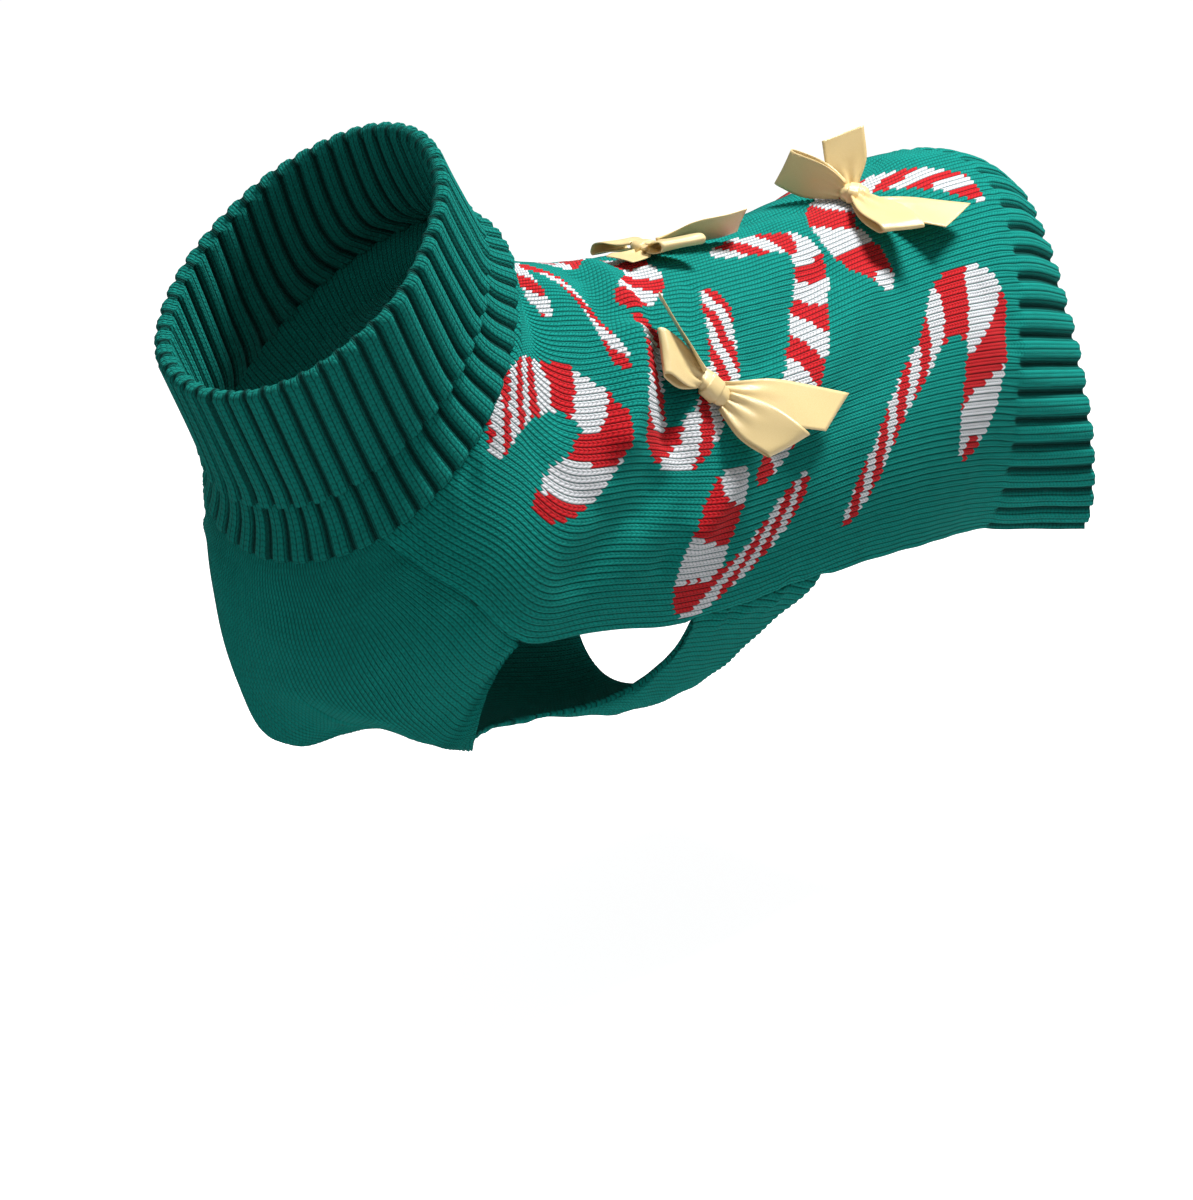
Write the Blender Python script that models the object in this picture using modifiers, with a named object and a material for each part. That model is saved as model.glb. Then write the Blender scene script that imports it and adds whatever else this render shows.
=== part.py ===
"""Knitted dog sweater, held open in the form it has when worn.

Metres, +Z up. The head end faces -Y and the wearer's left side is +X, so X = 0 is the mirror plane.
The origin lies on the inner face of the back panel at the withers, where the back carries the sweater.

The cloth is a tube of slanted sections. A place on it has two coordinates: the station, which runs from
the neck seam (0) to the hem (8), and the angle around the section from the spine (0) to the belly (180),
positive on the wearer's left. Folds and bows are placed on the panel in millimetres instead: "along" runs
from the neck seam to the tail, and "around" runs from the spine down the wearer's left side.
"""

import math

import bmesh
import bpy
import numpy as np

MM = 0.001
PART_NAME = "dog_sweater"

# Driving sizes, in millimetres
PANEL_WALL = 2.4            # thickness of the plain knit
SEAM_GAP = 0.3              # space left between two joined pieces
GIRTH_RADIUS = 90.0         # turns an angle around the body into "around" millimetres
HEM_RIBS = 36               # 2x2 ribs across the rear band
RIB_STEPS = 4               # mesh columns in one rib: two raised, two low
HEM_RIB_HEIGHT = 1.3
BACK_COLUMNS = 48
CHEST_COLUMNS = 24
CHEST_SEAM_STEPS = 6        # mesh rows that the two panels share along their seams, from neck to armhole
SIDE_SEAM_STEPS = 6         # and from the armhole to the belly's end
COLLAR_WALL = 2.6
COLLAR_RIBS = 48
COLLAR_RIB_HEIGHT = 1.2
COLLAR_FOLD_GAP = 0.4       # space between the stand and the turned-down half
RIBBON_WIDTH = 19.0
RIBBON_PINCH = 8.5          # width of the ribbon where it enters the knot
RIBBON_WALL = 1.0
KNOT_HALF_WIDTH = 6.0
RIBBON_REST = 1.2           # least height of a ribbon's middle over the cloth

# One row for each section of the tube. spine_y, spine_z: the outer face at the spine. lean: slope of the
# section in degrees, its top towards the tail. egg: wider above (+) or below (-). bow: how far the flanks
# lie forward of the spine. edge: the angle of the back panel's lower edge. along: distance from the neck.
STATION_COLUMNS = ("spine_y", "spine_z", "lean", "half_width", "depth", "egg", "bow", "edge", "along")
STATIONS = (
    (-29.0, 25.6, 41.0, 71.5, 165.0, -0.15, 0.0, 140.0, 0.0),     # 0 neck seam
    (-30.0, 7.0, 31.5, 78.5, 184.0, -0.13, 0.0, 117.5, 28.0),     # 1 shoulders
    (-21.0, 4.0, 22.0, 83.0, 191.5, -0.09, 0.0, 120.0, 46.0),     # 2 front of the armholes
    (0.0, 2.4, 12.0, 82.0, 192.0, 0.04, 0.0, 118.0, 76.0),        # 3 withers
    (47.0, -3.0, 5.5, 82.5, 188.0, 0.055, 0.0, 120.0, 128.0),     # 4 rear of the armholes
    (126.5, 1.0, 1.0, 83.5, 187.0, 0.01, 11.0, 120.0, 205.0),     # 5 end of the side seams
    (210.0, 14.0, 0.0, 84.0, 192.0, -0.03, 27.0, 127.0, 283.0),   # 6 loin
    (279.0, 26.0, 0.5, 84.0, 197.0, 0.04, 40.0, 139.0, 345.0),    # 7 start of the rib band
    (326.0, 11.5, -4.5, 82.0, 198.0, -0.23, 34.0, 133.0, 402.0),  # 8 hem
)
WITHERS, ARMHOLE_FRONT, ARMHOLE_REAR, SIDE_SEAM_END, RIB_START, HEM = 3, 2, 4, 5, 7, 8

# The collar's rings: the neck seam, the free edge of the turned-down half, and the fold at the top
RING_COLUMNS = ("spine_y", "spine_z", "lean", "half_width", "depth", "egg")
COLLAR_RINGS = (
    STATIONS[0][:6],
    (-49.0, 36.0, 40.0, 66.5, 145.0, -0.05),
    (-64.5, 62.0, 46.0, 62.5, 137.0, -0.08),
)
EDGE_RING, FOLD_RING = 1.0, 2.0

# The lower rim of an armhole on the chest panel, from its front corner to its rear corner.
# centre: the station of the same knitted row on the panel's middle line.
ARMHOLE_COLUMNS = ("station", "angle", "centre")
ARMHOLE_RIM = (
    (2.00, 120.0, 1.75),
    (1.98, 126.0, 1.90),
    (2.04, 134.0, 2.05),
    (2.24, 145.0, 2.25),
    (2.60, 157.0, 2.55),
    (3.00, 163.0, 2.90),
    (3.40, 162.0, 3.25),
    (3.74, 153.0, 3.55),
    (3.93, 141.0, 3.80),
    (4.02, 129.0, 3.95),
    (4.00, 120.0, 4.05),
)
BELLY_END_CENTRE = 4.5      # station where the belly's free end crosses the middle line
ROW_CURL = 3                # how sharply a knitted row bends up towards its ends

# Cloth pushed out where a leg leaves the body, and the slack belly, each a soft bump: side is +1 left,
# -1 right, 0 both; station, angle: its middle; reach: in stations and in degrees; down, out: millimetres
FLARE_COLUMNS = ("side", "station", "angle", "station_reach", "angle_reach", "down", "out")
FLARES = (
    (1, 2.35, 151.0, 0.75, 13.0, 12.5, 2.0),
    (-1, 1.95, 151.0, 0.85, 17.0, 30.0, 6.0),
    (0, 4.35, 165.0, 0.55, 26.0, 10.0, 0.0),
)

# The largest folds: soft ridges (height > 0) and troughs (height < 0) between two places on the panel
FOLD_COLUMNS = ("from_along", "from_around", "to_along", "to_around", "half_width", "height")
FOLDS = (
    (92.0, 66.0, 70.0, 108.0, 9.0, 6.5),       # ridge in front of the left bow
    (108.0, 80.0, 100.0, 108.0, 8.0, -7.0),    # pocket under the left bow
    (150.0, 108.0, 112.0, 146.0, 9.0, 5.0),    # ridge below the left bow
    (86.0, 128.0, 58.0, 160.0, 10.0, -3.5),    # trough below the shoulder
    (160.0, 84.0, 226.0, 50.0, 10.0, -3.5),    # trough from the left bow to the loin
    (176.0, 104.0, 244.0, 72.0, 11.0, 4.0),    # ridge beside it
    (96.0, 22.0, 84.0, 54.0, 9.0, -3.0),       # trough behind the left shoulder
    (118.0, 8.0, 106.0, 44.0, 8.0, 3.0),       # ridge beside it
    (88.0, -60.0, 72.0, -104.0, 10.0, 5.5),    # ridge behind the right shoulder
    (106.0, -70.0, 96.0, -112.0, 9.0, -5.0),   # trough behind it
    (142.0, -96.0, 112.0, -140.0, 10.0, 4.5),  # ridge over the right armhole
    (164.0, -70.0, 224.0, -46.0, 10.0, -3.5),  # trough towards the right loin
    (178.0, -98.0, 238.0, -74.0, 11.0, 3.5),   # ridge beside it
)

# Bows: where the knot sits on the panel in millimetres, the turn of its long axis in degrees from along
# to around, half its length and height, and the height of its middle over the cloth's plane there
BOW_COLUMNS = ("along", "around", "turn", "half_length", "half_height", "middle")
BOWS = {
    "left_bow": (122.5, 91.0, 50.0, 9.5, 3.8, 3.3),
    "tail_bow": (275.0, 20.0, 63.0, 7.0, 4.2, 4.5),
    "right_bow": (160.0, 0.0, 100.0, 7.0, 2.8, 3.1),
}
# Their ribbons: the height of the root over the cloth, and the two corners of the end, a fold or a cut.
# The corners are seen from the place under the knot: along and around in the plane of the cloth there,
# and height over that plane.
RIBBON_COLUMNS = ("bow", "piece", "kind", "root_height", "first_corner", "second_corner")
RIBBONS = (
    ("left_bow", "loop_front", "loop", 3.6, (-24.5, -26.0, 9.5), (-29.0, -7.0, 9.0)),
    ("left_bow", "loop_rear", "loop", 3.6, (30.0, 30.0, 18.0), (13.5, 34.0, 8.0)),
    ("left_bow", "tail_rear", "tail", 1.6, (76.0, 13.0, 6.0), (55.0, 27.0, 5.0)),
    ("left_bow", "tail_top", "tail", 5.4, (-23.5, -39.0, 15.0), (-10.5, -40.5, 2.0)),
    ("tail_bow", "loop_front", "loop", 4.6, (-13.0, -27.5, 21.0), (-17.0, -32.5, 4.0)),
    ("tail_bow", "loop_rear", "loop", 4.6, (-13.0, 49.0, 9.5), (-26.0, 36.0, 6.5)),
    ("tail_bow", "tail_rear", "tail", 1.6, (30.0, 43.0, 4.5), (5.0, 48.0, 2.5)),
    ("tail_bow", "tail_top", "tail", 6.0, (-1.0, -20.0, 24.0), (16.0, -10.0, 30.0)),
    ("right_bow", "loop_left", "loop", 4.0, (5.0, 30.0, 9.0), (-14.0, 22.0, 7.0)),
    ("right_bow", "loop_right", "loop", 3.1, (-6.0, -27.0, -1.0), (14.0, -24.0, -1.0)),
    ("right_bow", "tail_rear", "tail", 1.6, (38.0, 25.0, 16.5), (45.0, 13.0, 4.5)),
    ("right_bow", "tail_front", "tail", 1.6, (-26.0, 1.0, 3.0), (-30.0, 20.0, 3.0)),
)

# name: (base colour, roughness)
MATERIALS = {
    "green_knit": ((0.004, 0.155, 0.095, 1.0), 0.9),
    "green_rib_knit": ((0.003, 0.125, 0.078, 1.0), 0.9),
    "gold_satin": ((0.80, 0.62, 0.30, 1.0), 0.35),
}


def spline(rows, position):
    """Natural cubic spline through evenly spaced rows, read at any positions."""
    rows = np.asarray(rows, float)
    last = len(rows) - 1
    bend = np.zeros_like(rows)
    if last > 1:
        system = 4 * np.eye(last - 1) + np.eye(last - 1, k=1) + np.eye(last - 1, k=-1)
        bend[1:-1] = np.linalg.solve(system, 6 * (rows[:-2] - 2 * rows[1:-1] + rows[2:]))
    position = np.asarray(position, float)
    start = np.clip(np.floor(position), 0, last - 1).astype(int)
    b = (position - start)[..., None]
    a = 1 - b
    curve = ((a**3 - a) * bend[start] + (b**3 - b) * bend[start + 1]) / 6
    return a * rows[start] + b * rows[start + 1] + curve


def column(values, name, names=STATION_COLUMNS):
    return values[..., names.index(name)]


def smooth_step(value):
    value = np.clip(value, 0, 1)
    return value * value * (3 - 2 * value)


def unit(vectors):
    return vectors / np.maximum(np.linalg.norm(vectors, axis=-1, keepdims=True), 1e-12)


def section_point(values, angle, names, bow=0.0):
    """A point of a slanted egg-shaped section, in millimetres."""
    lean = np.radians(column(values, "lean", names))
    drop = (1 - np.cos(angle)) * column(values, "depth", names) / 2
    breadth = column(values, "half_width", names) * (1 + column(values, "egg", names) * np.cos(angle))
    y = column(values, "spine_y", names) - drop * np.sin(lean) - bow * np.sin(angle) ** 2
    z = column(values, "spine_z", names) - drop * np.cos(lean)
    return np.stack([breadth * np.sin(angle), y, z], axis=-1)


def along_of(station):
    return column(spline(STATIONS, station), "along")


def fold_height(station, angle):
    """Sum of the soft ridges and troughs."""
    place = np.stack([along_of(station), angle * GIRTH_RADIUS], axis=-1)
    height = np.zeros(place.shape[:-1])
    for from_along, from_around, to_along, to_around, half_width, rise in FOLDS:
        start = np.array([from_along, from_around])
        run = np.array([to_along, to_around]) - start
        share = np.clip((place - start) @ run / (run @ run), 0, 1)
        distance = np.linalg.norm(place - start - share[..., None] * run, axis=-1)
        height += rise * np.exp(-((distance / half_width) ** 2))
    return height


def flare_offset(station, angle):
    """Where the legs and the slack belly push the cloth out of the plain tube."""
    offset = np.zeros(station.shape + (3,))
    turned = np.abs(np.degrees(angle))
    turned = np.minimum(turned, 360 - turned)
    left = np.sin(angle) >= 0
    for side, middle, around, station_reach, angle_reach, down, out in FLARES:
        there = np.ones(left.shape) if side == 0 else (left == (side > 0)).astype(float)
        bump = np.exp(-(((station - middle) / station_reach) ** 2) - ((turned - around) / angle_reach) ** 2)
        offset[..., 0] += side * out * bump * there
        offset[..., 2] -= down * bump * there
    return offset


def plain_body(station, angle):
    station, angle = np.broadcast_arrays(np.asarray(station, float), np.asarray(angle, float))
    values = spline(STATIONS, station)
    return section_point(values, angle, STATION_COLUMNS, column(values, "bow")) + flare_offset(station, angle)


def outward(surface, station, angle):
    """Unit normals of a tube surface, pointing away from the wearer."""
    step = 0.01
    run = surface(station + step, angle) - surface(station - step, angle)
    turn = surface(station, angle + step) - surface(station, angle - step)
    return unit(np.cross(turn, run))


def body_outward(station, angle):
    """Normals of the cloth. At the neck seam they lie in the plane of the seam."""
    station, angle = np.broadcast_arrays(np.asarray(station, float), np.asarray(angle, float))
    normal = outward(folded_body, station, angle)
    axis = seam_axis()
    in_plane = unit(normal - (normal @ axis)[..., None] * axis)
    share = smooth_step(station / 0.4)[..., None]
    return unit(in_plane * (1 - share) + normal * share)


def seam_axis():
    """Direction across the neck seam, from the neck to the tail."""
    lean = math.radians(STATIONS[0][STATION_COLUMNS.index("lean")])
    return np.array([0, math.cos(lean), -math.sin(lean)])


def folded_body(station, angle):
    station, angle = np.broadcast_arrays(np.asarray(station, float), np.asarray(angle, float))
    return plain_body(station, angle) + outward(plain_body, station, angle) * fold_height(station, angle)[..., None]


def edge_angle(station):
    """Angle of the back panel's lower edge, in radians."""
    return np.radians(column(spline(STATIONS, station), "edge"))


def new_material(name):
    colour, roughness = MATERIALS[name]
    material = bpy.data.materials.new(name)
    material.use_nodes = True
    shader = material.node_tree.nodes["Principled BSDF"]
    shader.inputs["Base Color"].default_value = colour
    shader.inputs["Roughness"].default_value = roughness
    shader.inputs["Metallic"].default_value = 0.0
    return material


def add_rows(mesh, rows):
    """Vertices for rows of points given in millimetres."""
    return [[mesh.verts.new(point * MM) for point in row] for row in rows]


def bridge(mesh, first, second, closed=False):
    """Faces between two rows, of which one may have a whole number of times the other's points."""
    if len(first) > len(second):
        return [face.normal_flip() for face in bridge_faces(mesh, second, first, closed)]
    return bridge_faces(mesh, first, second, closed)


def bridge_faces(mesh, coarse, fine, closed):
    spans = len(coarse) if closed else len(coarse) - 1
    split = len(fine) // spans
    faces = []
    for i in range(spans):
        lower = [coarse[i], coarse[(i + 1) % len(coarse)]]
        upper = [fine[(i * split + k) % len(fine)] for k in range(split, -1, -1)]
        faces.append(mesh.faces.new(lower + upper))
    return faces


def finish_object(name, mesh_data, material, collection, smooth=True):
    mesh = bpy.data.meshes.new(name)
    mesh_data.normal_update()
    bmesh.ops.recalc_face_normals(mesh_data, faces=mesh_data.faces)
    mesh_data.to_mesh(mesh)
    mesh_data.free()
    mesh.materials.append(material)
    if smooth:
        mesh.shade_smooth()
    obj = bpy.data.objects.new(name, mesh)
    collection.objects.link(obj)
    return obj


def panel_wall(name, outer_rows, inner_rows, material, collection):
    """A cloth panel as one closed wall: outer and inner rows from front to rear, joined by four rims."""
    mesh = bmesh.new()
    outer, inner = add_rows(mesh, outer_rows), add_rows(mesh, inner_rows)
    for rows in (outer, inner):
        for first, second in zip(rows, rows[1:]):
            bridge(mesh, first, second)
    bridge(mesh, inner[0], outer[0])
    bridge(mesh, inner[-1], outer[-1])
    for side in (0, -1):
        bridge(mesh, [row[side] for row in inner], [row[side] for row in outer])
    return finish_object(name, mesh, material, collection)


def rib_wave(count, height):
    """Heights of count mesh columns across 2x2 ribs: two raised, two low."""
    phase = np.arange(count) % RIB_STEPS
    return np.where((phase == 1) | (phase == 2), height, 0.0)


def cloth_rows(stations, angles):
    """Outer and inner points for matching arrays of places, with the seam gap at the neck."""
    normal = body_outward(stations, angles)
    outer = folded_body(stations, angles)
    front = np.clip(1 - stations / 0.25, 0, 1)[..., None]
    outer = outer + seam_axis() * SEAM_GAP * front
    return outer, outer - normal * PANEL_WALL, normal


def chest_seam_stations():
    return np.linspace(0, ARMHOLE_FRONT, CHEST_SEAM_STEPS + 1)


def side_seam_stations():
    return np.linspace(ARMHOLE_REAR, SIDE_SEAM_END, SIDE_SEAM_STEPS + 1)


def back_panel(collection, material):
    """Plain knit over the back and both sides, ending in the rib band at the hem."""
    plain_stations = np.concatenate([
        chest_seam_stations(), np.linspace(ARMHOLE_FRONT, ARMHOLE_REAR, 9)[1:-1],
        side_seam_stations(), np.linspace(SIDE_SEAM_END, RIB_START, 11)[1:]])
    rib_stations = np.linspace(RIB_START, HEM, 5)[1:]
    outer_rows, inner_rows = [], []
    for station in np.concatenate([plain_stations, rib_stations]):
        ribbed = station > RIB_START
        columns = HEM_RIBS * RIB_STEPS if ribbed else BACK_COLUMNS
        share = np.linspace(-1, 1, columns + 1)
        outer, inner, normal = cloth_rows(np.full(share.shape, station), share * edge_angle(station))
        if ribbed:
            outer = outer + normal * rib_wave(columns + 1, HEM_RIB_HEIGHT)[:, None]
            inner = inner[::columns // BACK_COLUMNS]
        outer_rows.append(outer)
        inner_rows.append(inner)
    return panel_wall("back_panel", outer_rows, inner_rows, material, collection)


def chest_row(rim_station, rim_angle, centre):
    """Places across the chest panel for one knitted row, whose ends lie on its side rims."""
    share = np.linspace(-1, 1, CHEST_COLUMNS + 1)
    angle = math.pi + share * (math.pi - rim_angle)
    station = centre + (rim_station - centre) * np.abs(share) ** ROW_CURL
    return station, angle


def chest_rim_rows():
    """Rim station, rim angle and centre station of each knitted row, from the neck to the belly's end."""
    gap_angle = SEAM_GAP / GIRTH_RADIUS
    rim = spline(ARMHOLE_RIM, np.linspace(0, len(ARMHOLE_RIM) - 1, 17))
    rim_station, rim_angle, rim_centre = [column(rim, name, ARMHOLE_COLUMNS) for name in ARMHOLE_COLUMNS]
    front = chest_seam_stations()[:-1]
    front_centre = front * rim_centre[0] / ARMHOLE_FRONT
    rear = side_seam_stations()[1:]
    rear_centre = np.linspace(rim_centre[-1], BELLY_END_CENTRE, len(rear) + 1)[1:]
    rows = [(s, edge_angle(s) + gap_angle, c) for s, c in zip(front, front_centre)]
    rows += [(s, math.radians(a) + gap_angle, c) for s, a, c in zip(rim_station, rim_angle, rim_centre)]
    rows += [(s, edge_angle(s) + gap_angle, c) for s, c in zip(rear, rear_centre)]
    return rows


def chest_panel(collection, material):
    """Plain knit from the neck seam down the chest, between the legs and under the belly."""
    places = [chest_row(*row) for row in chest_rim_rows()]
    walls = [cloth_rows(station, angle) for station, angle in places]
    return panel_wall("chest_panel", [wall[0] for wall in walls], [wall[1] for wall in walls],
                      material, collection)


def collar_point(height, angle, inset, rise):
    """A point of the collar: height on its rings, moved inwards by inset and up the neck by rise."""
    values = spline(COLLAR_RINGS, np.full(angle.shape, height))
    point = section_point(values, angle, RING_COLUMNS)
    before, after = [section_point(values, angle + turn, RING_COLUMNS) for turn in (-0.01, 0.01)]
    lean = np.radians(column(values, "lean", RING_COLUMNS))
    axis = np.stack([np.zeros_like(lean), -np.cos(lean), np.sin(lean)], axis=-1)
    inward = unit(np.cross(after - before, axis))
    return point + inward * inset[..., None] + axis * rise


def collar_profile():
    """The folded wall's section, all the way round: height, inset, rise and whether it is ribbed."""
    wall, gap = COLLAR_WALL, COLLAR_FOLD_GAP
    tuck = wall + gap
    radius = wall + gap / 2
    rows = []
    for height in (0.0, 0.3, 0.6):
        rows.append((height, tuck * float(smooth_step(height / 0.9)), 0.0, True))
    for height in (0.9, 1.4, 1.85):
        rows.append((height, tuck, 0.0, False))
    rows.append((1.93, wall + gap / 2, 0.0, False))
    for height in (1.85, 1.4, EDGE_RING):
        rows.append((height, wall, 0.0, False))
    for height in (EDGE_RING, 1.3, 1.65, FOLD_RING):
        rows.append((height, 0.0, 0.0, True))
    rows.append((FOLD_RING, radius * (1 - math.cos(math.pi / 3)), radius * math.sin(math.pi / 3), True))
    rows.append((FOLD_RING, radius * 1.5, radius * math.sin(math.pi / 3), False))
    rows.append((FOLD_RING, radius * 2, 0.0, False))
    for height in (1.5, 1.0, 0.5, 0.0):
        rows.append((height, tuck * float(smooth_step(height / 0.9)) + wall, 0.0, False))
    return rows


def collar(collection, material):
    """Rib-knit turtleneck: a stand, a fold at the top, and the half that is turned down over it."""
    mesh = bmesh.new()
    rings = []
    for height, inset, rise, ribbed in collar_profile():
        columns = COLLAR_RIBS * RIB_STEPS if ribbed else COLLAR_RIBS
        angle = np.linspace(-math.pi, math.pi, columns, endpoint=False)
        wave = rib_wave(columns, COLLAR_RIB_HEIGHT) if ribbed else np.zeros(columns)
        if height == 0:
            wave = wave / 2
        rings.append(collar_point(height, angle, inset - wave, rise))
    rows = add_rows(mesh, rings)
    for first, second in zip(rows, rows[1:] + rows[:1]):
        bridge(mesh, first, second, closed=True)
    return finish_object("collar", mesh, material, collection)


def station_of(along):
    """The station that lies a given distance from the neck seam."""
    marks = np.linspace(0, HEM, 401)
    return np.interp(along, along_of(marks), marks)


def knot_frame(bow):
    """The cloth point under a knot, with unit directions along the panel, around it and outwards."""
    along, around = BOWS[bow][:2]
    station, angle = float(station_of(along)), around / GIRTH_RADIUS
    origin = folded_body(station, angle)
    normal = body_outward(station, angle)
    ahead = unit(folded_body(station + 0.05, angle) - origin)
    ahead = unit(ahead - (ahead @ normal) * normal)
    return station, angle, origin, ahead, np.cross(ahead, normal), normal


def cloth_height(bow, offsets):
    """Height of the cloth over the knot's own plane, under offsets (along, around)."""
    station, angle, origin, ahead, beside, normal = knot_frame(bow)
    stations = np.full(offsets.shape[:-1], station)
    angles = np.full(offsets.shape[:-1], angle)
    axes = np.stack([ahead, beside])
    step = 0.01
    for _ in range(6):
        miss = offsets - (folded_body(stations, angles) - origin) @ axes.T
        by_station = (folded_body(stations + step, angles) - folded_body(stations - step, angles)) @ axes.T
        by_angle = (folded_body(stations, angles + step) - folded_body(stations, angles - step)) @ axes.T
        slope = np.stack([by_station, by_angle], axis=-1) / (2 * step)
        change = np.linalg.solve(slope, miss[..., None])[..., 0]
        stations = stations + np.clip(change[..., 0], -0.5, 0.5)
        angles = angles + np.clip(change[..., 1], -0.4, 0.4)
    return (folded_body(stations, angles) - origin) @ normal


def ribbon_root(bow, height, first, second):
    """Middle of a ribbon's root, close to the side of the knot at that height."""
    turn, half_length, half_height, middle = BOWS[bow][2:]
    tip = (first + second) / 2
    heading = math.atan2(tip[1], tip[0])
    lean = heading - math.radians(turn)
    reach = RIBBON_WALL / 2 + RIBBON_PINCH / 2 * abs(unit(first - second)[2])
    off_middle = max(0.0, abs(height - middle) - reach) / half_height
    waist = math.sqrt(max(0.0, 1 - off_middle**2))
    distance = waist * math.hypot(half_length * math.cos(lean), KNOT_HALF_WIDTH * math.sin(lean)) + SEAM_GAP
    return np.array([distance * math.cos(heading), distance * math.sin(heading), height])


# Rows of a ribbon from root to end. share: of the way; gape: half the space between a loop's two layers;
# spread: share of the full width gained.
ROW_COLUMNS = ("share", "gape", "spread")
TAIL_ROWS = ((0.0, 0.0, 0.0), (0.15, 0.0, 0.3), (0.35, 0.0, 0.8), (0.55, 0.0, 1.0), (0.78, 0.0, 1.0),
             (1.0, 0.0, 1.0))
LOOP_ROWS = ((0.0, 1.1, 0.0), (0.25, 1.5, 0.6), (0.55, 2.0, 1.0), (0.85, 2.1, 1.0), (0.96, 1.4, 1.0))


def ribbon_rows(kind):
    if kind == "tail":
        return TAIL_ROWS
    upper = tuple((share, -gape, spread) for share, gape, spread in reversed(LOOP_ROWS))
    return LOOP_ROWS + ((1.0, 0.0, 1.0),) + upper


def ribbon_row(bow, root, first, second, share, gape, spread):
    """Three points across a ribbon, in the knot's own axes."""
    tip = (first + second) / 2
    end_width = first - second
    path = unit(tip - root)
    full = np.linalg.norm(end_width) * share + RIBBON_WIDTH * (1 - share)
    half = (RIBBON_PINCH * (1 - spread) + full * spread) / 2
    root_width = unit(end_width - (end_width @ path) * path)
    across = unit(root_width * (1 - share) + unit(end_width) * share)
    layer = unit(np.cross(path, across))
    layer = layer if layer[2] >= 0 else -layer
    middle = root + (tip - root) * share
    points = np.array([[middle + side * half * across - fold * layer for side in (-1, 0, 1)]
                       for fold in (gape, -gape)])
    lack = RIBBON_REST - (points[..., 2] - cloth_height(bow, points[..., :2])).min()
    points[..., 2] += max(0.0, lack)
    return points[0]


def ribbon(bow, piece, kind, root_height, first, second, collection, material):
    """One stretch of ribbon as an open strip over the cloth, thickened by a Solidify modifier."""
    first, second = np.array(first), np.array(second)
    root = ribbon_root(bow, root_height, first, second)
    _, _, origin, ahead, beside, normal = knot_frame(bow)
    axes = np.stack([ahead, beside, normal])
    rows = [ribbon_row(bow, root, first, second, *row) for row in ribbon_rows(kind)]
    mesh = bmesh.new()
    strips = add_rows(mesh, [origin + row @ axes for row in rows])
    for before, after in zip(strips, strips[1:]):
        bridge(mesh, before, after)
    obj = finish_object(f"{bow}_{piece}", mesh, material, collection)
    wall = obj.modifiers.new("wall", "SOLIDIFY")
    wall.thickness = RIBBON_WALL * MM
    wall.offset = 0.0
    return obj


def knot(bow, collection, material):
    """The knot, a flattened ball that sits on the cloth."""
    turn, half_length, half_height, middle = BOWS[bow][2:]
    _, _, origin, ahead, beside, normal = knot_frame(bow)
    turn = math.radians(turn)
    axis = ahead * math.cos(turn) + beside * math.sin(turn)
    sizes = np.array([half_length, KNOT_HALF_WIDTH, half_height])
    axes = np.stack([axis, np.cross(normal, axis), normal])
    mesh = bmesh.new()
    bmesh.ops.create_uvsphere(mesh, u_segments=12, v_segments=8, radius=1.0)
    centre = origin + normal * middle
    for vertex in mesh.verts:
        vertex.co = (centre + (np.array(vertex.co) * sizes) @ axes) * MM
    return finish_object(f"{bow}_knot", mesh, material, collection)


def main():
    for obj in list(bpy.data.objects):
        bpy.data.objects.remove(obj, do_unlink=True)
    collection = bpy.data.collections.new(PART_NAME)
    bpy.context.scene.collection.children.link(collection)
    materials = {name: new_material(name) for name in MATERIALS}
    back_panel(collection, materials["green_knit"])
    chest_panel(collection, materials["green_knit"])
    collar(collection, materials["green_rib_knit"])
    for bow in BOWS:
        knot(bow, collection, materials["gold_satin"])
    for row in RIBBONS:
        ribbon(*row, collection, materials["gold_satin"])


main()
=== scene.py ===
"""Looks of the knitted dog sweater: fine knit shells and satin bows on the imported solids' form.

Metres, +Z up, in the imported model's frame. Sizes in the tables are millimetres. A place on the body has a
station, from the neck seam (0) to the hem (8), and an angle around it, from the spine (0) to the belly (180),
positive on the wearer's left. "along" and "around" are millimetres on the panel from the neck and the spine.
"""

import math

import bpy
import numpy as np
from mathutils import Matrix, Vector


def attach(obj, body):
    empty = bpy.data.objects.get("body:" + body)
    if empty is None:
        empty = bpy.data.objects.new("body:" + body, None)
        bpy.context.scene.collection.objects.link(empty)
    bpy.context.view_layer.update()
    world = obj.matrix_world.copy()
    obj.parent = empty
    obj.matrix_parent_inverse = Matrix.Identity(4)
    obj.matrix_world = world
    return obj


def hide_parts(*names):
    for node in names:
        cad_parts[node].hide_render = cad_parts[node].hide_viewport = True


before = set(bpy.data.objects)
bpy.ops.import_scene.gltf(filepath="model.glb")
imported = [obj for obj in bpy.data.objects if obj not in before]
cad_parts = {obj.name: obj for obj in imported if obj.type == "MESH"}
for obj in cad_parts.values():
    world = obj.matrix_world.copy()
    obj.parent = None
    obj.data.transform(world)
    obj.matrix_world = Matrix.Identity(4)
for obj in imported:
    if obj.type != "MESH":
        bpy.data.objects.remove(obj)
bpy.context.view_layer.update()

MM = 0.001

# ---------------- form of the garment, as in the solids
SEAM_GAP = 0.3
GIRTH_RADIUS = 90.0        # turns an angle around the body into millimetres around it
COLLAR_WALL = 2.6
COLLAR_FOLD_GAP = 0.4
RIBBON_WIDTH = 19.0
RIBBON_PINCH = 8.5
KNOT_HALF_WIDTH = 6.0
RIBBON_REST = 1.2

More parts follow.
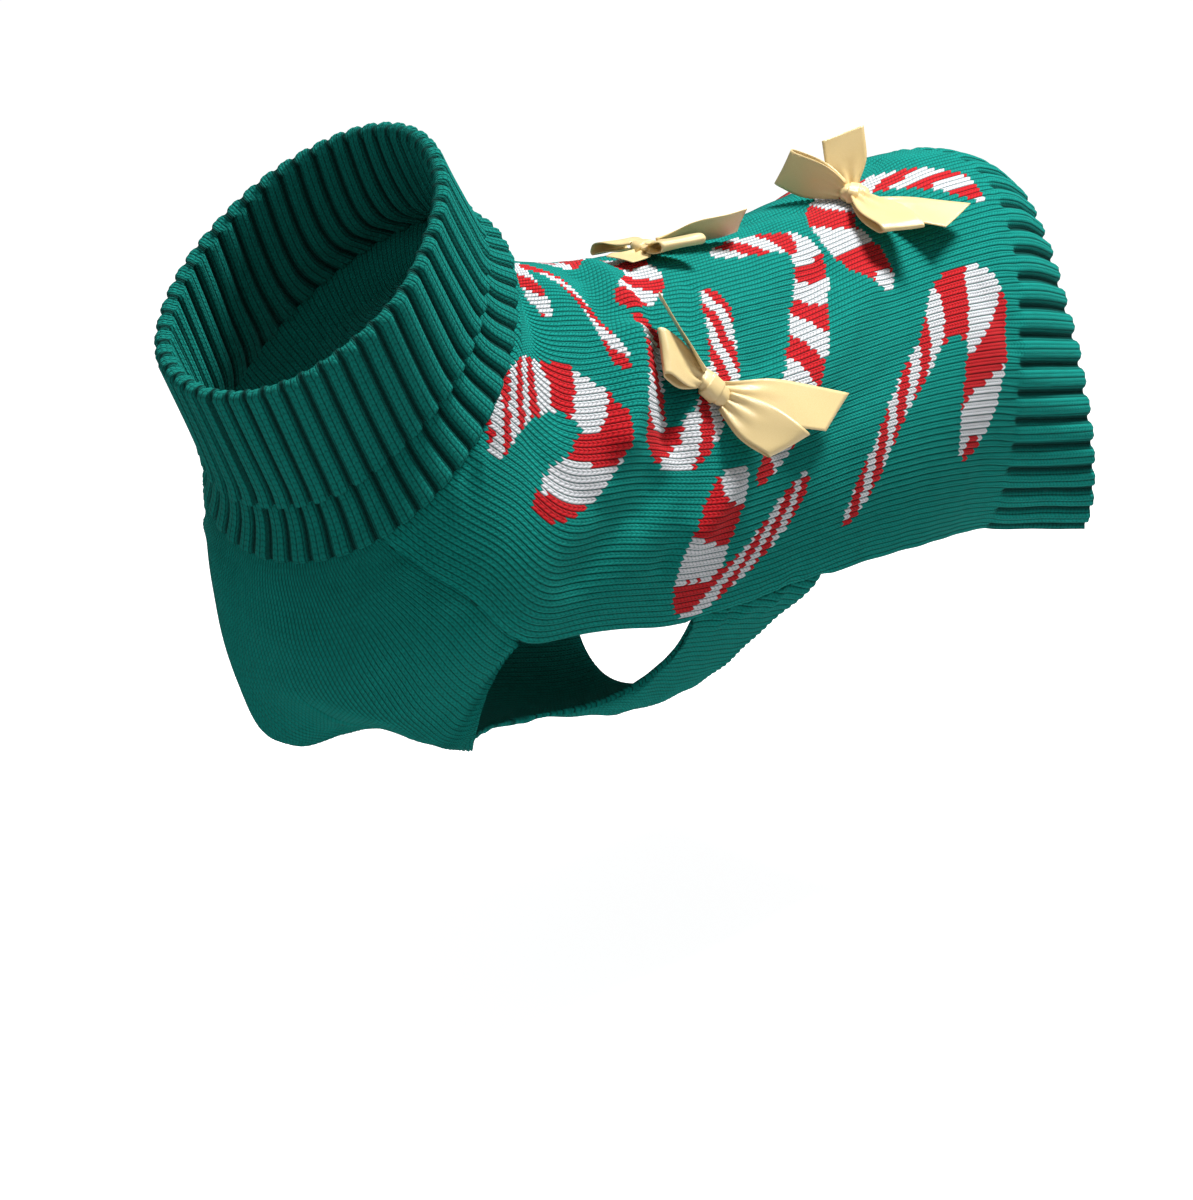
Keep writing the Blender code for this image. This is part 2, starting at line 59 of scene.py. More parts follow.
STATION_COLUMNS = ("spine_y", "spine_z", "lean", "half_width", "depth", "egg", "bow", "edge", "along")
STATIONS = (
    (-29, 25.6, 41, 71.5, 165, -0.15, 0, 140, 0),  # 0 neck seam
    (-30, 7, 31.5, 78.5, 184, -0.13, 0, 117.5, 28),  # 1 shoulders
    (-21, 4, 22, 83, 191.5, -0.09, 0, 120, 46),  # 2 front of the armholes
    (0, 2.4, 12, 82, 192, 0.04, 0, 118, 76),  # 3 withers
    (47, -3, 5.5, 82.5, 188, 0.055, 0, 120, 128),  # 4 rear of the armholes
    (126.5, 1, 1, 83.5, 187, 0.01, 11, 120, 205),  # 5 end of the side seams
    (210, 14, 0, 84, 192, -0.03, 27, 127, 283),  # 6 loin
    (279, 26, 0.5, 84, 197, 0.04, 40, 139, 345),  # 7 start of the rib band
    (326, 11.5, -4.5, 82, 198, -0.23, 34, 133, 402),  # 8 hem
)
ARMHOLE_FRONT, ARMHOLE_REAR, SIDE_SEAM_END, RIB_START, HEM = 2, 4, 5, 7, 8
RING_COLUMNS = ("spine_y", "spine_z", "lean", "half_width", "depth", "egg")
COLLAR_RINGS = (
    STATIONS[0][:6],
    (-49, 36, 40, 66.5, 145, -0.05),
    (-64.5, 62, 46, 62.5, 137, -0.08),
)
EDGE_RING, FOLD_RING = 1.0, 2.0
ARMHOLE_COLUMNS = ("station", "angle", "centre")
ARMHOLE_RIM = (
    (2.00, 120, 1.75), (1.98, 126, 1.90), (2.04, 134, 2.05), (2.24, 145, 2.25),
    (2.60, 157, 2.55), (3.00, 163, 2.90), (3.40, 162, 3.25), (3.74, 153, 3.55),
    (3.93, 141, 3.80), (4.02, 129, 3.95), (4.00, 120, 4.05),
)
BELLY_END_CENTRE = 4.5
ROW_CURL = 3
# side, station, angle, station_reach, angle_reach, down, out
FLARES = (
    (1, 2.35, 151, 0.75, 13, 12.5, 2),
    (-1, 1.95, 151, 0.85, 17, 30, 6),
    (0, 4.35, 165, 0.55, 26, 10, 0),
)
# from_along, from_around, to_along, to_around, half_width, height
FOLDS = (
    (92, 66, 70, 108, 9, 6.5),  # ridge in front of the left bow
    (108, 80, 100, 108, 8, -7),  # pocket under the left bow
    (150, 108, 112, 146, 9, 5),  # ridge below the left bow
    (86, 128, 58, 160, 10, -3.5),  # trough below the shoulder
    (160, 84, 226, 50, 10, -3.5),  # trough from the left bow to the loin
    (176, 104, 244, 72, 11, 4),  # ridge beside it
    (96, 22, 84, 54, 9, -3),  # trough behind the left shoulder
    (118, 8, 106, 44, 8, 3),  # ridge beside it
    (88, -60, 72, -104, 10, 5.5),  # ridge behind the right shoulder
    (106, -70, 96, -112, 9, -5),  # trough behind it
    (142, -96, 112, -140, 10, 4.5),  # ridge over the right armhole
    (164, -70, 224, -46, 10, -3.5),  # trough towards the right loin
    (178, -98, 238, -74, 11, 3.5),  # ridge beside it
)
# Finer creases than the solids carry, in the same columns
CREASES = (
    (128, 66, 150, 40, 4.5, -1.6),  # drawn up to the left bow
    (134, 74, 176, 62, 5, -1.5),
    (140, 92, 178, 92, 5, 1.3),
    (112, 62, 116, 30, 5, -1.4),
    (104, 118, 84, 140, 5, -1.5),
    (124, 122, 100, 158, 5.5, -1.8),
    (64, 70, 40, 100, 7, -1.5),
    (30, 120, 62, 136, 6, -1.2),
    (196, 120, 262, 104, 7, -1.6),
    (262, 34, 300, 52, 5, -1.4),  # drawn up to the tail bow
    (284, 4, 318, -10, 5, -1.4),
    (252, 6, 226, -6, 6, -1.4),
    (318, 96, 340, 120, 7, -1.8),
    (160, -20, 150, -52, 5, -1.5),  # the same kind on the far side
    (146, -8, 132, 8, 5, -1.4),
    (126, -84, 168, -88, 6, -1.6),
    (58, -66, 38, -104, 7, -1.6),
    (120, -118, 96, -156, 6, -1.8),
    (190, -116, 258, -100, 7, -1.7),
    (256, -40, 300, -58, 7, -1.5),
    (318, -90, 340, -118, 7, -1.8),
)

# bow: along, around, turn, half_length, half_height, middle
BOWS = {
    "left_bow": (122.5, 91, 50, 9.5, 3.8, 3.3),
    "tail_bow": (275, 20, 63, 7, 4.2, 4.5),
    "right_bow": (160, 0, 100, 7, 2.8, 3.1),
}
# bow, piece, kind, root_height, first_corner, second_corner
RIBBONS = (
    ("left_bow", "loop_front", "loop", 3.6, (-24.5, -26, 9.5), (-29, -7, 9)),
    ("left_bow", "loop_rear", "loop", 3.6, (30, 30, 18), (13.5, 34, 8)),
    ("left_bow", "tail_rear", "tail", 1.6, (76, 13, 6), (55, 27, 5)),
    ("left_bow", "tail_top", "tail", 5.4, (-23.5, -39, 15), (-10.5, -40.5, 2)),
    ("tail_bow", "loop_front", "loop", 4.6, (-13, -27.5, 21), (-17, -32.5, 4)),
    ("tail_bow", "loop_rear", "loop", 4.6, (-13, 49, 9.5), (-26, 36, 6.5)),
    ("tail_bow", "tail_rear", "tail", 1.6, (30, 43, 4.5), (5, 48, 2.5)),
    ("tail_bow", "tail_top", "tail", 6, (-1, -20, 24), (16, -10, 30)),
    ("right_bow", "loop_left", "loop", 4, (5, 30, 9), (-14, 22, 7)),
    ("right_bow", "loop_right", "loop", 3.1, (-6, -27, -1), (14, -24, -1)),
    ("right_bow", "tail_rear", "tail", 1.6, (38, 25, 16.5), (45, 13, 4.5)),
    ("right_bow", "tail_front", "tail", 1.6, (-26, 1, 3), (-30, 20, 3)),
)

# ---------------- knit
BACK_WALES = 144
PLAIN_COURSES, BAND_COURSES = 172, 28
WALES_PER_RIB = 4
GATHER_BEFORE, GATHER_COURSES = 8, 12.0   # where the wales are drawn together into ribs, and over which
BAND_RISE_COURSES = 3.0    # over these, the ribs rise at the band's start
SHELL_WALL = 1.95
DEEPEST_CREASE = 2         # the inner face sinks with the creases, up to this
CHEST_PITCH = 2.75
CHEST_COLUMNS = 240
CHEST_SEAM_ROWS, ARMHOLE_ROWS = 36, 91
WIDEST_WITHIN = 60         # the chest panel's widest row is looked for in its first rows
COURSE = 2.2
COLLAR_RIBS = 48
WALE_RIDGE = 0.7
INNER_STEP = 4             # outer mesh steps per step of the inner face
FREE_ROLL = 0.6            # how far a free edge rounds out
SEAM_LAP = 0.6             # how far a sewn edge reaches under its neighbour
EDGE_BEAD, EDGE_REACH = 0.5, 2.5   # the bead along a free edge
SEWN_BLEND, SEWN_OVER = 0.08, 0.1  # stations past a seam's end where its pucker dies out, and over which
BACK_UNEVEN, BACK_WAVE = 0.35, 34.0
CHEST_UNEVEN, CHEST_WAVE = 0.5, 30.0
COLLAR_UNEVEN, COLLAR_WAVE = 0.5, 45.0
BAND_RELIEF, BAND_SINK = 1.3, 0.2
NECK_RUN = 0.85            # the neck seam's length for one millimetre around the body
PLAIN_BEFORE_BAND = 4      # courses before the band with no cane
SEED_BACK, SEED_NECK, SEED_SIDE, SEED_CHEST, SEED_CHEST_NECK, SEED_CHEST_SIDE, SEED_COLLAR = (
    11, 21, 22, 31, 32, 33, 41)
# A 2x2 rib at its eight half-wales: two raised wales and two sunk ones
RIB_HEIGHTS = np.array([0.55, 1.3, 1.0, 1.3, 0.55, -0.7, -1.0, -0.7])
RIB_WIDTHS = np.repeat([0.155, 0.095], 4)

GREEN, WHITE, RED = 0.0, 1.0, 2.0
# Candy canes, from the shaft's end to the hook's end: points of the middle line (along, around), half
# widths of shaft and hook, their stripe pitches, the slants of their stripes, and where the first starts
CANES = (
    # left side, from the neck to the tail
    (((76, 80), (76, 62), (76, 44), (74, 22), (60, 14), (50, 34), (48, 52)), 4.5, 6.0, 34, 30, 2.4, 0.8, 0.3),
    (((134, -34), (104, -12), (104, 4), (134, -10), (138, 14), (126, 32), (104, 44)),
     6.0, 9.0, 22, 24, 1.2, -0.4, 0.1),
    (((156, 46), (147, 68), (138, 82), (128, 94), (115, 108), (102, 113), (92, 106), (94, 90),
      (101, 72), (103, 58)), 8.0, 10.0, 24, 28, 1.7, 0.8, 0.35),
    (((6, 146), (14, 114), (36, 90), (52, 93), (60, 106), (53, 121), (40, 136)),
     9.5, 10.5, 19, 34, 0.4, -0.7, 0.5),
    (((150, 128), (166, 112), (186, 91), (200, 76), (213, 60), (225, 42), (221, 27), (204, 21), (186, 20)),
     9.5, 9.5, 27, 24, 0.35, -0.6, 0.25),
    (((338, 50), (324, 34), (306, 18), (284, 9), (262, 18), (252, 36), (253, 52), (259, 68)),
     9.5, 12.5, 22, 34, 1.0, 0.2, 0.0),
    (((212, 161), (246, 126), (270, 111), (290, 96), (306, 95), (319, 105), (321, 120), (316, 138),
      (308, 154)), 6.8, 16.5, 25, 43, 1.7, -0.5, 0.0),
    (((176, 138), (158, 155), (138, 170), (124, 175), (120, 162), (121, 150), (126, 138), (130, 130)),
     7.0, 12.5, 22, 34, 2.4, 0.1, 0.4),
    # right side, in the same manner
    (((20, -58), (36, -86), (34, -112), (14, -122), (4, -104)), 8.0, 11.0, 22, 30, 0.8, 0.4, 0.3),
    (((50, -24), (76, -34), (88, -54), (80, -74), (66, -72)), 7.0, 9.0, 24, 30, 1.0, -0.3, 0.0),
    (((156, -62), (130, -80), (114, -104), (122, -126), (142, -122)), 7.0, 11.0, 24, 32, 1.1, 0.4, 0.5),
    (((238, -30), (206, -34), (188, -58), (196, -84), (220, -88)), 8.0, 12.0, 24, 32, 0.8, 0.5, 0.2),
    (((176, -104), (168, -134), (184, -156), (206, -148), (246, -120)), 7.0, 11.0, 25, 34, 1.2, -0.4, 0.6),
    (((332, -30), (300, -34), (276, -52), (282, -78), (304, -84)), 7.0, 12.0, 24, 32, 1.0, 0.4, 0.4),
    (((326, -112), (292, -112), (262, -134), (262, -160), (284, -170)), 7.0, 12.0, 24, 34, 1.1, -0.3, 0.0),
)
CANE_MARGIN = 18           # stitches farther than this from a cane's box aren't tested
CANE_STEPS = 24            # steps of the middle line between two of its points
HOOK_FROM, HOOK_OVER = 0.4, 0.3   # share of the length where the shaft turns into the hook, and over which
END_TAPER, TAPER_RATE, TAPER_FROM = 0.45, 8, 3

SLOPE_STEP = 0.01          # station and angle steps for slopes
STATION_MARKS = 401
NECK_PLANE_REACH = 0.4     # stations over which the cloth leaves the neck seam's plane
NECK_GAP_REACH = 0.25      # stations over which the neck seam's gap closes


def spline(rows, position):
    """Natural cubic spline through evenly spaced rows, read at any positions."""
    rows = np.asarray(rows, float)
    last = len(rows) - 1
    bend = np.zeros_like(rows)
    if last > 1:
        system = 4 * np.eye(last - 1) + np.eye(last - 1, k=1) + np.eye(last - 1, k=-1)
        bend[1:-1] = np.linalg.solve(system, 6 * (rows[:-2] - 2 * rows[1:-1] + rows[2:]))
    position = np.asarray(position, float)
    start = np.clip(np.floor(position), 0, last - 1).astype(int)
    b = (position - start)[..., None]
    a = 1 - b
    curve = ((a**3 - a) * bend[start] + (b**3 - b) * bend[start + 1]) / 6
    return a * rows[start] + b * rows[start + 1] + curve


def joined(*parts):
    """Coordinates side by side in one array."""
    return np.stack(np.broadcast_arrays(*parts), axis=-1)


def totals(steps):
    """Running totals from 0."""
    return np.concatenate([[0], np.cumsum(steps)])


def lengths(vectors):
    return np.linalg.norm(vectors, axis=-1)


def bell(value):
    return np.exp(-(value ** 2))


def run_down(points):
    """Distance run down a column of points, from its first."""
    return totals(lengths(np.diff(points, axis=0)))


def column(values, name, names=STATION_COLUMNS):
    return values[..., names.index(name)]


def smooth_step(value):
    value = np.clip(value, 0, 1)
    return value * value * (3 - 2 * value)


def unit(vectors):
    return vectors / np.maximum(np.linalg.norm(vectors, axis=-1, keepdims=True), 1e-12)


def section_point(values, angle, names, bow=0.0):
    lean = np.radians(column(values, "lean", names))
    drop = (1 - np.cos(angle)) * column(values, "depth", names) / 2
    breadth = column(values, "half_width", names) * (1 + column(values, "egg", names) * np.cos(angle))
    y = column(values, "spine_y", names) - drop * np.sin(lean) - bow * np.sin(angle) ** 2
    z = column(values, "spine_z", names) - drop * np.cos(lean)
    return joined(breadth * np.sin(angle), y, z)


def along_of(station):
    return column(spline(STATIONS, station), "along")


def station_of(along):
    marks = np.linspace(0, HEM, STATION_MARKS)
    return np.interp(along, along_of(marks), marks)


def ridge_height(rows, station, angle):
    """Sum of soft ridges and troughs given by rows like FOLDS."""
    place = joined(along_of(station), angle * GIRTH_RADIUS)
    height = np.zeros(place.shape[:-1])
    for from_along, from_around, to_along, to_around, half_width, rise in rows:
        start = np.array([from_along, from_around])
        run = np.array([to_along, to_around]) - start
        share = np.clip((place - start) @ run / (run @ run), 0, 1)
        distance = lengths(place - start - share[..., None] * run)
        height += rise * bell(distance / half_width)
    return height


def flare_offset(station, angle):
    offset = np.zeros(station.shape + (3,))
    turned = np.abs(np.degrees(angle))
    turned = np.minimum(turned, 360 - turned)
    left = np.sin(angle) >= 0
    for side, middle, around, station_reach, angle_reach, down, out in FLARES:
        there = np.ones(left.shape) if side == 0 else (left == (side > 0)).astype(float)
        bump = np.exp(-(((station - middle) / station_reach) ** 2) - ((turned - around) / angle_reach) ** 2)
        offset[..., 0] += side * out * bump * there
        offset[..., 2] -= down * bump * there
    return offset


def paired(station, angle):
    return np.broadcast_arrays(np.asarray(station, float), np.asarray(angle, float))


def plain_body(station, angle):
    station, angle = paired(station, angle)
    values = spline(STATIONS, station)
    return section_point(values, angle, STATION_COLUMNS, column(values, "bow")) + flare_offset(station, angle)


def outward(surface, station, angle):
    run = surface(station + SLOPE_STEP, angle) - surface(station - SLOPE_STEP, angle)
    turn = surface(station, angle + SLOPE_STEP) - surface(station, angle - SLOPE_STEP)
    return unit(np.cross(turn, run))


def seam_axis():
    """Square to the neck seam's plane, towards the tail."""
    lean = math.radians(STATIONS[0][STATION_COLUMNS.index("lean")])
    return np.array([0, math.cos(lean), -math.sin(lean)])


def neck_gap(station):
    """How far the panels stand off the collar at the neck seam."""
    return seam_axis() * SEAM_GAP * np.clip(1 - station / NECK_GAP_REACH, 0, 1)[..., None]


def folded_body(station, angle):
    station, angle = paired(station, angle)
    lift = ridge_height(FOLDS, station, angle)
    return plain_body(station, angle) + outward(plain_body, station, angle) * lift[..., None]


def body_outward(station, angle):
    station, angle = paired(station, angle)
    normal = outward(folded_body, station, angle)
    axis = seam_axis()
    in_plane = unit(normal - (normal @ axis)[..., None] * axis)
    share = smooth_step(station / NECK_PLANE_REACH)[..., None]
    return unit(in_plane * (1 - share) + normal * share)


def edge_angle(station):
    return np.radians(column(spline(STATIONS, station), "edge"))


def unevenness(place, seed, wavelength):
    """Soft irregular waves from -1 to 1 over places in millimetres, the same every run."""
    draw = np.random.default_rng(seed)
    total = np.zeros(place.shape[:-1])
    for _ in range(7):
        heading = draw.uniform(0, math.pi)
        length = wavelength * draw.uniform(0.7, 1.6)
        wave = np.array([math.cos(heading), math.sin(heading)]) * 2 * math.pi / length
        total += np.sin(place @ wave + draw.uniform(0, 2 * math.pi))
    return total / 4


GROOVE_DEPTH, GROOVE_REACH = 1.15, 2.2
GATHER_RISE, GATHER_WAVE, GATHER_AWAY, GATHER_REACH = 0.75, 11.0, 4.5, 5.5
PULL_DEPTH, PULL_PITCH, PULL_REACH = 0.35, 5.6, 3.0


def pucker(run, away, seed):
    """A sewn seam's groove: sunk at the seam, drawn in at each stitch, with uneven gathers beside it."""
    place = joined(run, 0.0)
    groove = -GROOVE_DEPTH * bell(away / GROOVE_REACH)
    gathers = GATHER_RISE * unevenness(place, seed, GATHER_WAVE) * bell((away - GATHER_AWAY) / GATHER_REACH)
    pulls = -PULL_DEPTH * (0.5 + 0.5 * np.cos(run * 2 * math.pi / PULL_PITCH)) * bell(away / PULL_REACH)
    return groove + gathers + pulls


# ---------------- mesh building
def signed_volume(points, faces):
    """Six times the volume enclosed, from faces of one size."""
    first = points[faces[:, 0]]
    total = 0.0
    for i in range(1, faces.shape[1] - 1):
        total += np.einsum("ij,ij->", first, np.cross(points[faces[:, i]], points[faces[:, i + 1]]))
    return total


def make_mesh(name, points, face_groups, material, face_values=None, point_uv=None):
    """A smooth mesh object from points in millimetres and arrays of faces of one size each."""
    mesh = bpy.data.meshes.new(name)
    if sum(signed_volume(points, faces) for faces in face_groups) < 0:
        face_groups = [faces[:, ::-1] for faces in face_groups]
    loops = np.concatenate([faces.ravel() for faces in face_groups]).astype(np.int32)
    sizes = np.concatenate([np.full(len(faces), faces.shape[1]) for faces in face_groups]).astype(np.int32)
    starts = np.concatenate([[0], np.cumsum(sizes)[:-1]]).astype(np.int32)
    mesh.vertices.add(len(points))
    mesh.vertices.foreach_set("co", (points * MM).astype(np.float32).ravel())
    mesh.loops.add(len(loops))
    mesh.loops.foreach_set("vertex_index", loops)
    mesh.polygons.add(len(sizes))
    mesh.polygons.foreach_set("loop_start", starts)
    mesh.update(calc_edges=True)
    mesh.validate()
    if point_uv is not None:
        layer = mesh.uv_layers.new(name="stitch")
        layer.data.foreach_set("uv", point_uv[loops].astype(np.float32).ravel())
    if face_values is not None:
        values = mesh.attributes.new("yarn", "FLOAT", "FACE")
        values.data.foreach_set("value", face_values.astype(np.float32))
    mesh.polygons.foreach_set("use_smooth", np.ones(len(sizes), bool))
    mesh.materials.append(material)
    obj = bpy.data.objects.new(name, mesh)
    bpy.context.scene.collection.objects.link(obj)
    return obj


def grid_faces(index):
    return joined(index[:-1, :-1], index[:-1, 1:], index[1:, 1:], index[1:, :-1]).reshape(-1, 4)


def border(index):
    """Indices once around a grid's rim."""
    return np.concatenate([index[0, :-1], index[:-1, -1], index[-1, :0:-1], index[:0:-1, 0]])


def shell(name, outer, inner, rim, uv, material, yarn=None):
    """A closed wall of cloth: a fine outer grid, a coarser inner one and a rounded rim between them."""
    rows, columns = outer.shape[:2]
    outer_index = np.arange(rows * columns).reshape(rows, columns)
    inner_grid = inner[::INNER_STEP, ::INNER_STEP]
    inner_index = outer_index.size + np.arange(inner_grid[..., 0].size).reshape(inner_grid.shape[:2])
    outer_border, inner_border = border(outer_index), border(inner_index)
    rim_index = outer_index.size + inner_index.size + np.arange(len(outer_border))
    points = np.concatenate([outer.reshape(-1, 3), inner_grid.reshape(-1, 3),
                             rim.reshape(-1, 3)[outer_border]])
    flat_uv = uv.reshape(-1, 2)
    inner_uv = uv[::INNER_STEP, ::INNER_STEP].reshape(-1, 2)
    point_uv = np.concatenate([flat_uv, inner_uv, flat_uv[outer_border]])
    outer_faces = grid_faces(outer_index)
    inner_faces = grid_faces(inner_index)[:, ::-1]
    rim_faces = joined(outer_border, rim_index, np.roll(rim_index, -1), np.roll(outer_border, -1))
    parts = [np.roll(rim_index, -k)[::INNER_STEP] for k in range(INNER_STEP + 1)]
    closing = np.stack([inner_border, np.roll(inner_border, -1)] + parts[::-1], axis=-1)
    values = None
    if yarn is not None:
        values = np.zeros(len(outer_faces) + len(inner_faces) + len(rim_faces) + len(closing))
        values[:len(outer_faces)] = yarn.ravel()
    groups = [outer_faces, inner_faces, rim_faces, closing]
    return make_mesh(name, points, groups, material, values, point_uv)


def panel_shell(name, station, base, normal, lift, sink, free, uv, material, yarn=None):
    """A panel's shell, its rim pushed out: rounded where an edge is free, tucked under where it is sewn.

    The first row is sewn to the collar and the last row is free; free says the same of the two side columns.
    """
    gap = neck_gap(station)
    outer = base + normal * lift[..., None] + gap
    inner = base - normal * (SHELL_WALL + sink)[..., None] + gap
    rolls = [share * FREE_ROLL + (1 - share) * SEAM_LAP for share in free]
    rim = (outer + inner) / 2
    rim[0] += unit(outer[0] - outer[2]) * SEAM_LAP
    rim[-1] += unit(outer[-1] - outer[-3]) * FREE_ROLL
    rim[:, 0] += unit(outer[:, 0] - outer[:, 2]) * rolls[0][:, None]
    rim[:, -1] += unit(outer[:, -1] - outer[:, -3]) * rolls[1][:, None]
    return shell(name, outer, inner, rim, uv, material, yarn)


# ---------------- candy canes
def cane_line(points):
    """The middle line of a cane as many short steps, with the distance run at each."""
    line = spline(points, np.linspace(0, len(points) - 1, CANE_STEPS * (len(points) - 1)))
    return line, run_down(line)


def yarn_colours(along, around):
    """Green, white or red for each stitch, from the canes' middle lines."""
    place = joined(along, around).reshape(-1, 2)
    yarn = np.full(len(place), GREEN)
    for points, shaft_half, hook_half, shaft_pitch, hook_pitch, shaft_slant, hook_slant, phase in CANES:
        line, run = cane_line(points)
        close = (place > line.min(0) - CANE_MARGIN) & (place < line.max(0) + CANE_MARGIN)
        near = np.flatnonzero(np.all(close, axis=1))
        if not len(near):
            continue
        gaps = place[near, None] - line[None]
        distance = lengths(gaps)
        way = run / run[-1]
        hooked = smooth_step((way - HOOK_FROM) / HOOK_OVER)
        half_width = shaft_half + (hook_half - shaft_half) * hooked
        at_end = np.clip(np.abs(way - 0.5) * TAPER_RATE - TAPER_FROM, 0, 1)
        half_width = half_width * (1 - END_TAPER * at_end ** 2)
        pitch = shaft_pitch + (hook_pitch - shaft_pitch) * hooked
        turns = totals(np.diff(run) / pitch[1:]) + phase
        nearest = (distance / half_width).argmin(axis=1)
        ahead = unit(np.gradient(line, axis=0))[nearest]
        offset = gaps[np.arange(len(near)), nearest]
        beside = ahead[:, 0] * offset[:, 1] - ahead[:, 1] * offset[:, 0]
        slant = (shaft_slant + (hook_slant - shaft_slant) * hooked)[nearest]
        inside = distance[np.arange(len(near)), nearest] < half_width[nearest]
        stripe = (turns[nearest] + slant * beside / pitch[nearest]) % 1 < 0.5
        yarn[near[inside]] = np.where(stripe[inside], RED, WHITE)
    return yarn.reshape(along.shape)


# ---------------- the three cloth pieces
def rib_relief(columns):
    return RIB_HEIGHTS[np.arange(columns) % len(RIB_HEIGHTS)]


def rib_shares(ribs):
    """Places of the half-wales across a ribbed strip, from -1 to 1, the sunk ones drawn together."""
    return totals(np.tile(RIB_WIDTHS, ribs)) / ribs * 2 - 1


def back_panel(material):
    columns = 2 * BACK_WALES
    rows = PLAIN_COURSES + BAND_COURSES
    course = np.arange(rows + 1)[:, None] + np.zeros(columns + 1)
    valley = (np.arange(columns + 1) % 2 == 0).astype(float)
    course[1:-1] -= 0.5 * valley
    band_along, hem_along = along_of(np.array([float(RIB_START), float(HEM)]))
    along = np.where(course < PLAIN_COURSES, course / PLAIN_COURSES * band_along,
                     band_along + (course - PLAIN_COURSES) / BAND_COURSES * (hem_along - band_along))
    station = station_of(along)
    in_band = smooth_step((course - PLAIN_COURSES) / BAND_RISE_COURSES)
    even = np.linspace(-1, 1, columns + 1)
    drawn = rib_shares(BACK_WALES // WALES_PER_RIB)
    gather = smooth_step((course - PLAIN_COURSES + GATHER_BEFORE) / GATHER_COURSES)
    edge = edge_angle(station)
    angle = (even * (1 - gather) + drawn * gather) * edge
    normal = body_outward(station, angle)
    base = folded_body(station, angle)
    place = joined(along, angle * GIRTH_RADIUS)
    creases = ridge_height(CREASES, station, angle)
    lift = creases + BACK_UNEVEN * unevenness(place, SEED_BACK, BACK_WAVE)
    lift += WALE_RIDGE * (1 - valley) * (1 - in_band) - WALE_RIDGE / 2
    lift += in_band * (rib_relief(columns + 1) * BAND_RELIEF - BAND_SINK)
    lift += pucker(angle * GIRTH_RADIUS * NECK_RUN, along, SEED_NECK)
    from_edge = (edge - np.abs(angle)) * GIRTH_RADIUS
    sewn = smooth_step((ARMHOLE_FRONT + SEWN_BLEND - station) / SEWN_OVER)
    sewn = sewn + smooth_step((station - ARMHOLE_REAR + SEWN_BLEND) / SEWN_OVER) * smooth_step(
        (SIDE_SEAM_END + SEWN_BLEND - station) / SEWN_OVER)
    lift += sewn * pucker(along, from_edge, SEED_SIDE)
    free = 1 - np.clip(sewn, 0, 1)
    lift += free * EDGE_BEAD * bell(from_edge / EDGE_REACH)
    uv = joined(np.arange(columns + 1) / 2, course)

    # one colour for each stitch, which is two mesh faces: read at the middle of its wale
    centre = np.arange(BACK_WALES) * 2 + 1
    stitch_along = (along[:-1, centre] + along[1:, centre]) / 2
    stitch_around = (angle[:-1, centre] + angle[1:, centre]) / 2 * GIRTH_RADIUS
    yarn = np.repeat(yarn_colours(stitch_along, stitch_around), 2, axis=1)
    yarn[PLAIN_COURSES - PLAIN_BEFORE_BAND:] = GREEN
    sink = -np.clip(creases, -DEEPEST_CREASE, 0)
    sides = (free[:, 0], free[:, -1])
    return panel_shell("back_panel_knit", station, base, normal, lift, sink, sides, uv, material, yarn)


def chest_rows():
    """Rim station, rim angle and centre station of each mesh row of the chest panel, neck to belly."""
    rim = spline(ARMHOLE_RIM, np.linspace(0, len(ARMHOLE_RIM) - 1, ARMHOLE_ROWS))
    front = np.linspace(0, ARMHOLE_FRONT, CHEST_SEAM_ROWS)[:-1]
    rear = np.linspace(ARMHOLE_REAR, SIDE_SEAM_END, CHEST_SEAM_ROWS)[1:]
    rim_station, rim_angle, centre = [column(rim, name, ARMHOLE_COLUMNS) for name in ARMHOLE_COLUMNS]
    station = np.concatenate([front, rim_station, rear])
    angle = np.concatenate([edge_angle(front), np.radians(rim_angle), edge_angle(rear)])
    centres = np.concatenate([front * centre[0] / ARMHOLE_FRONT, centre,
                              np.linspace(centre[-1], BELLY_END_CENTRE, CHEST_SEAM_ROWS)[1:]])
    free = np.zeros(len(station))
    free[len(front) + 1:len(front) + ARMHOLE_ROWS - 1] = 1
    return station, angle + SEAM_GAP / GIRTH_RADIUS, centres, free


def chest_panel(material):
    rim_station, rim_angle, centre, free = chest_rows()
    share = np.linspace(-1, 1, CHEST_COLUMNS + 1)
    angle = math.pi + share * (math.pi - rim_angle[:, None])
    station = centre[:, None] + (rim_station - centre)[:, None] * np.abs(share) ** ROW_CURL
    normal = body_outward(station, angle)
    base = folded_body(station, angle)
    across = lengths(np.diff(base, axis=1)).sum(axis=1) / 2
    # the wales fan out from the neck seam, and run parallel behind the widest row
    widest = int(np.argmax(across[:WIDEST_WITHIN]))
    wales = across / CHEST_PITCH
    wales[:widest] = wales[widest]
    wale = share * wales[:, None]
    side_down = run_down(base[:, 0])
    middle_down = run_down(base[:, CHEST_COLUMNS // 2])
    run = middle_down[:, None] * (1 - np.abs(share)) + side_down[:, None] * np.abs(share)
    lift = 0.5 * WALE_RIDGE * np.cos(2 * math.pi * (wale - 0.5))
    place = joined(run, share * across[:, None])
    lift += CHEST_UNEVEN * unevenness(place, SEED_CHEST, CHEST_WAVE)
    from_rim = (1 - np.abs(share)) * across[:, None]
    lift += pucker(share * across[0], run, SEED_CHEST_NECK)
    sewn = (1 - free)[:, None] * np.ones_like(share)
    lift += sewn * pucker(side_down[:, None], from_rim, SEED_CHEST_SIDE)
    lift += (1 - sewn) * EDGE_BEAD * bell(from_rim / EDGE_REACH)
    uv = joined(wale, run / COURSE)
    no_sink = np.zeros_like(lift)
    return panel_shell("chest_panel_knit", station, base, normal, lift, no_sink, (free, free), uv, material)


